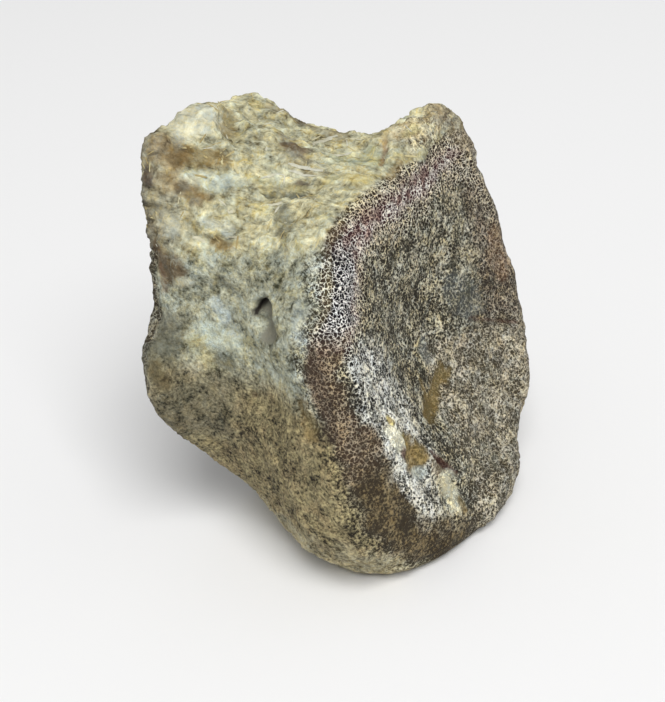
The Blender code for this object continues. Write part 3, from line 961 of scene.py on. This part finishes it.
# The least and the most of each that a sliver may have, and the seed that it is drawn with.
SLIVER_CHANCE = {
    "yaw": (-0.45, 0.45, 2), "roll": (-0.3, 0.3, 3), "pitch": (-0.05, 0.05, 4),
    "length": (0.5, 1.5, 5), "width": (0.6, 1.5, 6), "height": (0.6, 1.4, 7), "tone": (0.25, 1.0, 8),
}


def scatter_tree(name, zone_name):
    """Slivers set over a zone of the bone, each with its own size, turn and tone."""
    tree = bpy.data.node_groups.new(name, "GeometryNodeTree")
    name_sockets(tree, "INPUT", "Geometry", ["Geometry"])
    name_sockets(tree, "INPUT", "Float", SLIVER_SIZES)
    name_sockets(tree, "INPUT", "Int", {"Seed": SLIVER_SEED})
    name_sockets(tree, "INPUT", "Material", ["Material"])
    name_sockets(tree, "OUTPUT", "Geometry", ["Geometry"])
    bench = Bench(tree)
    given = tree.nodes.new("NodeGroupInput").outputs
    in_mm = bench.scaled(bench.put("GeometryNodeInputPosition"), 1 / MM)
    heaps = bench.put("ShaderNodeMapRange", {"Value": bench.spots(in_mm, *SLIVER_HEAPS), **HEAP_EDGE})
    apart = bench.times(given["Apart"], MM)
    spread = bench.put("GeometryNodeDistributePointsOnFaces", {
        "Mesh": given["Geometry"], "Distance Min": apart,
        "Density Max": bench.sum("DIVIDE", SLIVER_CROWD, bench.times(apart, apart)),
        "Density Factor": bench.times(bench.times(bench.zone(zone_name), bench.zone("seat")), heaps),
        "Seed": given["Seed"]}, distribute_method="POISSON").node.outputs

    def chance(name):
        """A different value for each sliver."""
        low, high, seed = SLIVER_CHANCE[name]
        return bench.put("FunctionNodeRandomValue", {2: low, 3: high, "Seed": seed}, 1, data_type="FLOAT")

    lie = bench.put("FunctionNodeAxesToRotation", {
        "Primary Axis": spread["Normal"], "Secondary Axis": (1.0, 0.0, 0.0)},
        primary_axis="Z", secondary_axis="X")
    course = bench.swing(bench.spots(in_mm, *SLIVER_COURSE), SLIVER_TURN)
    tilt = bench.axes(chance("roll"), chance("pitch"), bench.added(course, chance("yaw")))
    turn = bench.put("FunctionNodeEulerToRotation", {0: tilt})
    turned = bench.put("FunctionNodeRotateRotation", {
        "Rotation": lie, "Rotate By": turn}, rotation_space="LOCAL")
    wanted = ("Length", "Width", "Height")
    sides = bench.axes(*[bench.times(given[side], chance(side.lower())) for side in wanted])
    chip = bench.put("GeometryNodeMeshIcoSphere", {"Radius": 1.0, "Subdivisions": 1})
    sunk = bench.scaled(spread["Normal"], bench.times(given["Sink"], -MM))
    points = bench.put("GeometryNodeSetPosition", {"Geometry": spread["Points"], "Offset": sunk})
    placed = bench.put("GeometryNodeInstanceOnPoints", {
        "Points": points, "Instance": chip, "Rotation": turned, "Scale": bench.scaled(sides, MM)})
    toned = bench.put("GeometryNodeStoreNamedAttribute", {
        "Geometry": placed, "Name": "tone", "Value": chance("tone")},
        data_type="FLOAT", domain="INSTANCE")
    bench.close_shape(toned, given["Material"])
    return tree


def scatter(name, zone_name, material):
    """Slivers over a zone of the finished bone, as one plain mesh object."""
    bed = add_object(name, bone.data.copy())
    spread = bed.modifiers.new(name, "NODES")
    spread.node_group = scatter_tree(name, zone_name)
    set_inputs(spread, Material=material)
    return add_object(name, plain_mesh(bed, name))


SLIVER_TONES = [
    (0.0, chart(112, 92, 64)), (0.3, chart(176, 160, 112)),
    (0.7, chart(208, 200, 156)), (1.0, chart(204, 205, 192)),
]
MARBLE_DARK = (0.74, 0.70, 0.62, 1)
MARBLE_PALE = (1.12, 1.12, 1.12, 1)
SLIVER_ROUGHNESS = 0.75
SLIVER_BUMP = {"Strength": 0.5, "Distance": 0.0001}


def sliver_material(tones, grain_group):
    """Slivers of bone, each with a tone of its own out of a short range."""
    slips, bench = new_material("sliver bone")
    grain = grain_at(bench, grain_group, {"Pale Share": 0.5, "Broken": 1.0})
    toned = bench.put("ShaderNodeValToRGB", {"Fac": bench.carried("tone")})
    # The stops change places as they move, so all are placed before any is coloured.
    stops = toned.node.color_ramp.elements
    while len(stops) < len(tones):
        stops.new(0.5)
    for stop, (share, _) in zip(stops, tones):
        stop.position = share
    for stop, (_, tone) in zip(stops, tones):
        stop.color = (*tone, 1)
    marbled = bench.tint(grain["Pale"], MARBLE_DARK, MARBLE_PALE)
    bump = bench.put("ShaderNodeBump", {**SLIVER_BUMP, "Height": grain["Height"]})
    skin = bench.put("ShaderNodeBsdfPrincipled", {
        "Base Color": bench.tint(1.0, toned, marbled, "MULTIPLY"), "Roughness": SLIVER_ROUGHNESS,
        "Specular IOR Level": STONE_GLOSS, "Normal": bump})
    bench.close_surface(skin)
    return slips


sliver_bone = sliver_material(SLIVER_TONES, stone_grain)
slivers = scatter("torn_slivers", "broken", sliver_bone)
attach(slivers, "root")

# The larger slivers: the line that each lies along, half width, thickness and tone in the sliver range.
SHARDS = [
    ([(-10.9, -8.5, 57.3), (-10.2, -9.2, 56.8), (-9.5, -9.6, 56.2)], 0.28, 0.30, 0.75),
    ([(-12.4, -9.6, 57.6), (-11.6, -9.9, 57.3)], 0.22, 0.25, 0.70),
    ([(-5.2, 3.4, 56.2), (-4.4, 5.9, 56.1), (-3.6, 7.8, 56.0)], 0.42, 0.16, 0.95),
    ([(-4.6, -4.3, 56.3), (-2.2, -3.6, 56.0), (0.2, -3.0, 55.6)], 0.34, 0.16, 1.0),
    ([(-4.0, -5.4, 55.9), (-1.6, -4.9, 55.6), (1.0, -4.2, 55.4)], 0.28, 0.16, 0.95),
    ([(-2.6, 1.6, 56.0), (-1.0, 3.2, 55.4), (0.6, 4.6, 55.5)], 0.28, 0.16, 0.9),
    ([(-6.6, -8.3, 55.2), (-5.4, -7.0, 55.4), (-4.3, -6.1, 55.4)], 0.26, 0.28, 0.95),
    ([(-7.7, -16.1, 49.6), (-6.3, -16.3, 49.5), (-5.0, -16.2, 49.4)], 0.28, 0.3, 0.95),
    ([(-3.6, -11.6, 53.8), (-1.8, -11.0, 53.6)], 0.3, 0.25, 0.9),
    ([(-8.8, -14.6, 52.6), (-7.4, -14.2, 52.5)], 0.3, 0.28, 0.85),
    ([(-12.6, -17.4, 48.8), (-10.8, -17.4, 48.6)], 0.3, 0.3, 0.9),
    ([(16.6, -16.6, 26.6), (16.9, -16.5, 25.9)], 0.42, 0.4, 0.35),
]
SHARD_STEPS = 7
SHARD_SIDES = 8
SHARD_SUNK = 0.35
SHARD_TIP = 0.12
SHARD_BLUNT = 0.7
SHARD_CROOK = 0.15
SHARD_CHIPPED = 0.22
SHARD_TONE_RANGE = 0.12
# How far the noise is stepped for each shard, for each step along it and for each side round it.
CROOK_STRIDES = (3.7, 0.9, 1.5)
CHIP_STRIDES = (5.1, 1.7, 1.3)


def drift_at(strides, *counts):
    """A value from -1 to 1 that drifts from each count to the next."""
    return noise.noise(Vector([count * stride for count, stride in zip(counts, strides)]))


def lay_shards(shards):
    """Tapered slips of bone along their lines, each bedded in the skin under it."""
    ground = BVHTree.FromPolygons(
        [v.co / MM for v in bone.data.vertices], [list(p.vertices) for p in bone.data.polygons])
    made = bmesh.new()
    tone_layer = made.verts.layers.float.new("tone")
    for number, (line, half_width, thick, tone) in enumerate(shards):
        line = [Vector(point) for point in line]
        rings = []
        for step in range(SHARD_STEPS):
            share = step / (SHARD_STEPS - 1)
            part = share * (len(line) - 1)
            leg = min(int(part), len(line) - 2)
            spot = line[leg].lerp(line[leg + 1], part - leg)
            along = (line[leg + 1] - line[leg]).normalized()
            touch, up, _, _ = ground.find_nearest(spot)
            across = along.cross(up).normalized()
            taper = math.sin(math.pi * (SHARD_TIP + (1 - 2 * SHARD_TIP) * share)) ** SHARD_BLUNT
            crook = drift_at(CROOK_STRIDES, number, step, 1)
            middle = touch + across * crook * SHARD_CROOK * half_width + up * (thick * (0.5 - SHARD_SUNK))
            ring = []
            for side in range(SHARD_SIDES):
                turn = 2 * math.pi * side / SHARD_SIDES
                chip = 1 + SHARD_CHIPPED * drift_at(CHIP_STRIDES, number, step, side)
                reach = across * (half_width * math.cos(turn)) + up * (0.5 * thick * math.sin(turn))
                vert = made.verts.new((middle + reach * taper * chip) * MM)
                vert[tone_layer] = min(1.0, max(0.0, tone + SHARD_TONE_RANGE * crook))
                ring.append(vert)
            rings.append(ring)
        for near, far in zip(rings, rings[1:]):
            for side in range(SHARD_SIDES):
                beside = (side + 1) % SHARD_SIDES
                made.faces.new((near[side], near[beside], far[beside], far[side]))
        made.faces.new(rings[0])
        made.faces.new(rings[-1])
    bmesh.ops.recalc_face_normals(made, faces=made.faces)
    mesh = bpy.data.meshes.new("bedded shards")
    made.to_mesh(mesh)
    made.free()
    mesh.materials.append(sliver_bone)
    return mesh


shards = add_object("bedded_shards", lay_shards(SHARDS))
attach(shards, "root")

# ---------------------------------------------------------------------------
# The bench
# A plain white table top that the bone stands on, not part of it.
# ---------------------------------------------------------------------------
TABLE_HALF = 4.0
TABLE_WHITE = (0.86, 0.86, 0.86, 1)
TABLE_ROUGHNESS = 0.9
corners = [(x * TABLE_HALF, y * TABLE_HALF, 0) for x, y in ((-1, -1), (1, -1), (1, 1), (-1, 1))]
table_mesh = bpy.data.meshes.new("table top")
table_mesh.from_pydata(corners, [], [(0, 1, 2, 3)])
table_top = add_object("table_top", table_mesh)
white, table_bench = new_material("white table")
table_skin = table_bench.put("ShaderNodeBsdfPrincipled", {
    "Base Color": TABLE_WHITE, "Roughness": TABLE_ROUGHNESS})
table_bench.close_surface(table_skin)
table_mesh.materials.append(white)

# ---------------------------------------------------------------------------
# Light and camera
# One broad soft lamp above the camera and an even white room.
# ---------------------------------------------------------------------------
CAMERA_AZIMUTH = math.radians(32)
CAMERA_HEIGHT = math.radians(28)
CAMERA_ROLL = math.radians(4)
CAMERA_DISTANCE = 0.25
AIM = Vector((-0.0010, -0.0008, 0.028))
LENS = 85.9
SENSOR = 36
SHIFT = (-0.00356, -0.0228)
NEAREST = 0.001


def direction(azimuth, height):
    """The way from the bone to something at that azimuth and height."""
    level = math.cos(height)
    return Vector((math.sin(azimuth) * level, -math.cos(azimuth) * level, math.sin(height)))


def facing(back, roll):
    """A turn that looks against that direction, with the picture turned by the roll."""
    level = Vector((0, 0, 1)).cross(back).normalized()
    upright = back.cross(level)
    right = math.cos(roll) * level - math.sin(roll) * upright
    up = math.sin(roll) * level + math.cos(roll) * upright
    return Matrix((right, up, back)).transposed().to_4x4()


camera_data = bpy.data.cameras.new("camera")
camera_data.sensor_width = SENSOR
camera_data.lens = LENS
camera_data.shift_x, camera_data.shift_y = SHIFT
camera_data.clip_start = NEAREST
camera = add_object("camera", camera_data)
back = direction(CAMERA_AZIMUTH, CAMERA_HEIGHT)
camera.matrix_world = Matrix.Translation(AIM + back * CAMERA_DISTANCE) @ facing(back, CAMERA_ROLL)
bpy.context.scene.camera = camera

LAMP_AZIMUTH = math.radians(44)
LAMP_HEIGHT = math.radians(52)
LAMP_DISTANCE = 2.4
LAMP_SIZE = 1.4
LAMP_WATTS = 54
ROOM_LIGHT = 0.42
lamp_data = bpy.data.lights.new("soft lamp", "AREA")
lamp_data.size = LAMP_SIZE
lamp_data.energy = LAMP_WATTS
lamp = add_object("soft lamp", lamp_data)
beam = direction(LAMP_AZIMUTH, LAMP_HEIGHT)
lamp.matrix_world = Matrix.Translation(AIM + beam * LAMP_DISTANCE) @ facing(beam, 0)

room = bpy.data.worlds.new("white room")
bpy.context.scene.world = room
room.use_nodes = True
room.node_tree.nodes.clear()
room_bench = Bench(room.node_tree)
seen = room_bench.put("ShaderNodeLightPath", {}, "Is Camera Ray")
strength = room_bench.blend(seen, ROOM_LIGHT, 1.0)
glow = room_bench.put("ShaderNodeBackground", {"Color": (1, 1, 1, 1), "Strength": strength})
room_bench.close_surface(glow, "ShaderNodeOutputWorld")
bpy.context.scene.view_settings.view_transform = "Standard"
